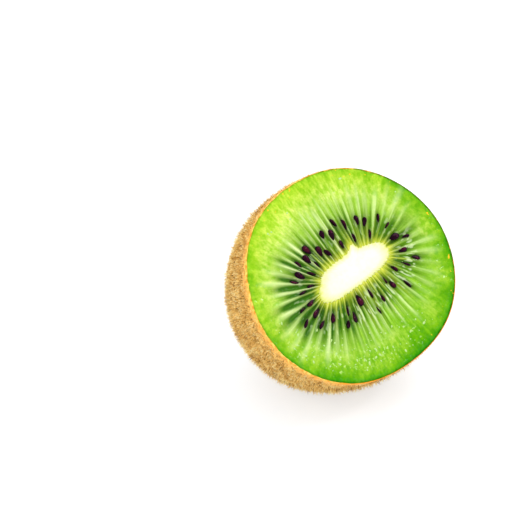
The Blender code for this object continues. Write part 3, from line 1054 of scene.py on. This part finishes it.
# hair: from a random place on the skin, along its normal, bending over with the square of the way to its tip,
# in the direction that its tuft is combed; short near the rim
def makeFuzz(name, kind, material):
    rng = np.random.default_rng(kind["seed"])
    count = kind["count"]
    turn = drawTurns(rng, count)
    angle = rng.uniform(0, 2 * math.pi, count)
    step, lastTurn = 0.002, 1.56
    root = fruitPoint(angle, *domeShares(turn))
    across = fruitPoint(angle + step, *domeShares(turn)) - fruitPoint(angle - step, *domeShares(turn))
    ahead, behind = domeShares(np.minimum(turn + step, lastTurn)), domeShares(turn - step)
    down = fruitPoint(angle, *ahead) - fruitPoint(angle, *behind)
    across, down = unit(across), unit(down)
    normal = outwards(np.cross(down, across), root)
    root = root + normal * (skinRelief(root) - fuzzDetail["sunk"])[:, None]
    combSeed = kind["seed"] % 2 + 10
    comb = np.stack([blendNoise(root, fuzzDetail["combSize"], combSeed + i) - 0.5 for i in range(2)], -1)
    comb = comb * fuzzDetail["combWidth"] + rng.normal(0, fuzzDetail["combScatter"], comb.shape)
    lean = down * (0.25 + comb[:, :1]) + across * comb[:, 1:]
    fromRim = smoothStep(*fuzzDetail["rimZone"], -root[:, 2:])
    length = rng.uniform(*kind["length"], (count, 1))
    length = length * (fuzzDetail["lengthAtRim"] + (1 - fuzzDetail["lengthAtRim"]) * fromRim)
    way = np.array([0.0, 0.5, 1.0])[None, :, None]
    rise = normal[:, None] * (way - 0.35 * way**2)
    path = root[:, None] + length[:, None] * (rise + lean[:, None] * way**2 * 0.5 * kind["lean"])
    spokes = evenAngles(3)[None, :, None]
    star = across[:, None] * np.cos(spokes) + down[:, None] * np.sin(spokes)
    thick = kind["radius"] * np.array([1.0, 0.8])[None, :, None, None]
    rings = path[:, :2, None] + star[:, None] * thick
    tufts = roughNoise(root, fuzzDetail["tuftSize"], 71, layers=2) - 0.5
    scatter = rng.normal(0, fuzzDetail["toneScatter"], count)
    tone = np.clip(fuzzDetail["tone"] + fuzzDetail["tuftContrast"] * tufts + scatter, 0, 1)
    toneOfRings = tone[:, None, None] * np.array([0.7, 1.0])[None, :, None]
    values = {"tone": (tone * 0.6, toneOfRings, np.minimum(tone + 0.2, 1))}
    addPiece(name, root, rings, path[:, 2], material, [], values)


# Juice: small clear beads that stand on the cut face
juice = {
    "count": 120,
    "tries": 6,  # places drawn for each bead that is wanted
    "radius": (0.00010, 0.00030),
    "flatness": 0.35,
    "stretch": (1.0, 2.0),
    "shares": (0.12, 0.87),
    "around": 8,
    "draw": 9,
    "surface": {
        "Base Color": (0.62, 0.90, 0.30, 1.0),
        "Roughness": 0.05,
        "IOR": 1.34,
        "Transmission Weight": 0.3,
        "Specular IOR Level": 0.3,
    },
}


# bead: rings of a ball, flattened, stretched one way and half sunk in the face
def makeJuice(seeds):
    rng = np.random.default_rng(juice["draw"])
    wanted = juice["count"]
    turn = rng.uniform(0, 2 * math.pi, juice["tries"] * wanted)
    share = rng.uniform(*juice["shares"], juice["tries"] * wanted)
    place = facePlace(turn, share)
    likely = 0.08 + 0.92 * smoothStep(0.006, 0.020, place @ cutFace["wetTowards"])
    keep = rng.uniform(0, 1, len(turn)) < likely * (share + 0.2)
    turn, share, place = turn[keep][:wanted], share[keep][:wanted], place[keep][:wanted]
    centre = raised(place, faceHeight(turn, share, facePatterns(turn, share, seeds)))
    smallest, largest = juice["radius"]
    size = rng.uniform(0, 1, len(turn)) ** 2 * (largest - smallest) + smallest
    stretch = rng.uniform(*juice["stretch"], len(turn))
    slope = np.array([-0.6, 0.0, 0.6])[None, :, None]
    spokes = evenAngles(juice["around"])
    heading = rng.uniform(0, 2 * math.pi, len(turn))
    x = np.cos(slope) * np.cos(spokes) * (size * stretch)[:, None, None]
    y = np.cos(slope) * np.sin(spokes) * size[:, None, None]
    z = np.sin(slope) * np.ones(len(spokes)) * juice["flatness"] * size[:, None, None]
    cosine, sine = np.cos(heading)[:, None, None], np.sin(heading)[:, None, None]
    rings = np.stack([cosine * x - sine * y, sine * x + cosine * y, z], -1) + centre[:, None, None]
    up = np.stack([0 * size, 0 * size, juice["flatness"] * size], -1)
    material = newMaterial("clearJuice", juice["surface"])[0]
    addPiece("juiceBeads", centre - up, rings, centre + up, material, [])


# Dried sepals round the scar at the stem end
sepals = {
    "count": 7,
    "length": 0.0030,
    "width": 0.0011,
    "thickness": 0.00012,
    "cup": 0.00025,
    "sections": 7,
    "sides": 8,
    "draw": 12,
    "surface": {"Roughness": 0.85},
    "colours": [(0.0, (0.20, 0.11, 0.05)), (1.0, (0.52, 0.37, 0.20))],
    "mottle": (0.0006, 0.3, 0.7, 3.0),
    "grain": (0.0003, 0.2, 0.6, 0.0001),
}


# sepal's look: two browns mixed by cloudy noise
def sepalMaterial():
    material, tree, shader = newMaterial("drySepal", sepals["surface"])
    dress(tree, shader, colourRamp(tree, mottle(tree, *sepals["mottle"]), sepals["colours"]), sepals["grain"])
    return material


# sepal: a flat oval section carried along a path that leaves the scar and curls outwards, widest at a third
def makeSepals():
    rng = np.random.default_rng(sepals["draw"])
    count = sepals["count"]
    heading = (np.arange(count) + rng.uniform(-0.3, 0.3, count)) * 2 * math.pi / count
    length = (sepals["length"] * rng.uniform(0.6, 1.1, count))[:, None]
    way = np.linspace(0, 1, sepals["sections"])[None, :]
    curl = rng.uniform(0.4, 1.3, count)[:, None]
    out = fruit["scarRadius"] * 0.8 + length * way * np.cos(curl * way)
    rise = 0.0003 + length * way * 0.45 * np.sin(curl * (1.2 - 0.6 * way))
    base = -fruit["depth"] + fruit["dimpleDepth"] - fruit["scarHeight"]
    drift = rng.uniform(-0.3, 0.3, count)[:, None] * way * length
    radial = np.stack([np.cos(heading), np.sin(heading), 0 * heading], -1)[:, None]
    beside = np.stack([-np.sin(heading), np.cos(heading), 0 * heading], -1)[:, None]
    up = np.array([0, 0, -1.0])
    path = radial * out[..., None] + beside * drift[..., None] + up * rise[..., None] + [0, 0, base]
    belly = np.sin(math.pi * (0.15 + 0.85 * way)) ** 0.8
    wide = sepals["width"] * (0.35 + 0.65 * belly) * (1 - 0.5 * way)
    spokes = evenAngles(sepals["sides"])[None, None, :, None]
    flat = np.cos(spokes) * beside[:, :, None] * wide[..., None, None] / 2
    thin = np.sin(spokes) * up * sepals["thickness"] / 2
    cup = np.cos(spokes) ** 2 * up * sepals["cup"]
    rings = path[:, :, None] + flat + thin + cup
    tip = radial[:, 0] * 0.0001
    addPiece("drySepals", path[:, 0] - tip, rings, path[:, -1] + tip, sepalMaterial(), [])


seedPlaces = placeSeeds()
makeFlesh(seedPlaces)
makeCore()
makeSeeds(seedPlaces)
makeSkin()
fuzzLook = fuzzMaterial()
for fuzzName, fuzzKind in fuzzKinds.items():
    makeFuzz(fuzzName, fuzzKind, fuzzLook)
makeJuice(seedPlaces)
makeSepals()
print("the fruit is made")

# Floor, lights and camera
studio = {
    "floorSize": 3.0,
    "floor": {
        "Roughness": 0.6,
        "Base Color": (0.52, 0.52, 0.52, 1.0),
        "Emission Color": (0.515, 0.56, 0.60, 1.0),  # the pale table is lit from below as well
        "Emission Strength": 1.0,
    },
    "skyColour": (1.0, 1.0, 1.0, 1.0),
    "skyStrength": 1.0,
    "lamps": {
        "key": {"azimuth": 115, "elevation": 60, "distance": 0.9, "size": 0.7, "power": 2.8},
        "sparkle": {"azimuth": 54, "elevation": 46, "distance": 0.9, "size": 0.16, "power": 1.2},
        "fill": {"azimuth": -85, "elevation": 22, "distance": 1.0, "size": 0.9, "power": 3.6},
    },
}

cameraSetup = {
    "azimuth": -34.6,
    "elevation": 30.0,
    "distance": 0.577,
    "sensor": 36.0,
    "focalPixels": 2500.0,
    "imageSize": 512,
    "centrePixel": (352.1, 274.2),  # where the middle of the cut face lands
}


# unit direction from the fruit at an azimuth and elevation in degrees
def direction(azimuth, elevation):
    around, up = math.radians(azimuth), math.radians(elevation)
    return np.array([math.sin(around) * math.cos(up), -math.cos(around) * math.cos(up), math.sin(up)])


# floor: a square at height zero
def makeFloor():
    half = studio["floorSize"] / 2
    corners = [(-half, -half, 0), (half, -half, 0), (half, half, 0), (-half, half, 0)]
    mesh = bpy.data.meshes.new("floor")
    mesh.from_pydata(corners, [], [(0, 1, 2, 3)])
    mesh.materials.append(newMaterial("paleFloor", studio["floor"])[0])
    floor = addObject("floor", mesh)


# an even sky, and lamps at their azimuth, elevation and distance from the face's middle, aimed at it
def makeLights():
    world = bpy.data.worlds.new("studio")
    world.use_nodes = True
    sky = world.node_tree.nodes["Background"]
    sky.inputs["Color"].default_value = studio["skyColour"]
    sky.inputs["Strength"].default_value = studio["skyStrength"]
    bpy.context.scene.world = world
    for name, given in studio["lamps"].items():
        lamp = bpy.data.lights.new(name, "AREA")
        lamp.shape = "DISK"
        lamp.size = given["size"]
        lamp.energy = given["power"]
        light = addObject(name, lamp)
        towards = direction(given["azimuth"], given["elevation"])
        light.location = faceCentre + towards * given["distance"]
        light.rotation_euler = Vector(towards).to_track_quat("Z", "Y").to_euler()


# camera: stands at its azimuth and elevation from the face's middle, level, turned so that this middle falls
# on the wanted pixel: sideways by the arcsine of the pixel's offset over the reach and the cosine of the
# elevation, offsets and reach being in focal lengths
def makeCamera():
    given = cameraSetup
    half = given["imageSize"] / 2
    right = (given["centrePixel"][0] - half) / given["focalPixels"]
    up = (half - given["centrePixel"][1]) / given["focalPixels"]
    reach = math.sqrt(1 + right**2 + up**2)
    elevation = math.radians(given["elevation"])
    aimElevation = math.asin(reach * math.sin(elevation) / math.sqrt(1 + up**2)) + math.atan(up)
    aimAzimuth = math.radians(given["azimuth"]) + math.asin(right / (reach * math.cos(elevation)))
    back = Vector(direction(math.degrees(aimAzimuth), math.degrees(aimElevation)))
    data = bpy.data.cameras.new("camera")
    data.sensor_width = given["sensor"]
    data.lens = given["focalPixels"] * given["sensor"] / given["imageSize"]
    data.clip_start = 0.01
    camera = addObject("camera", data)
    camera.location = faceCentre + direction(given["azimuth"], given["elevation"]) * given["distance"]
    camera.rotation_euler = back.to_track_quat("Z", "Y").to_euler()
    bpy.context.scene.camera = camera


makeFloor()
makeLights()
makeCamera()
bpy.context.scene.view_settings.view_transform = "Standard"
print("the studio is set")
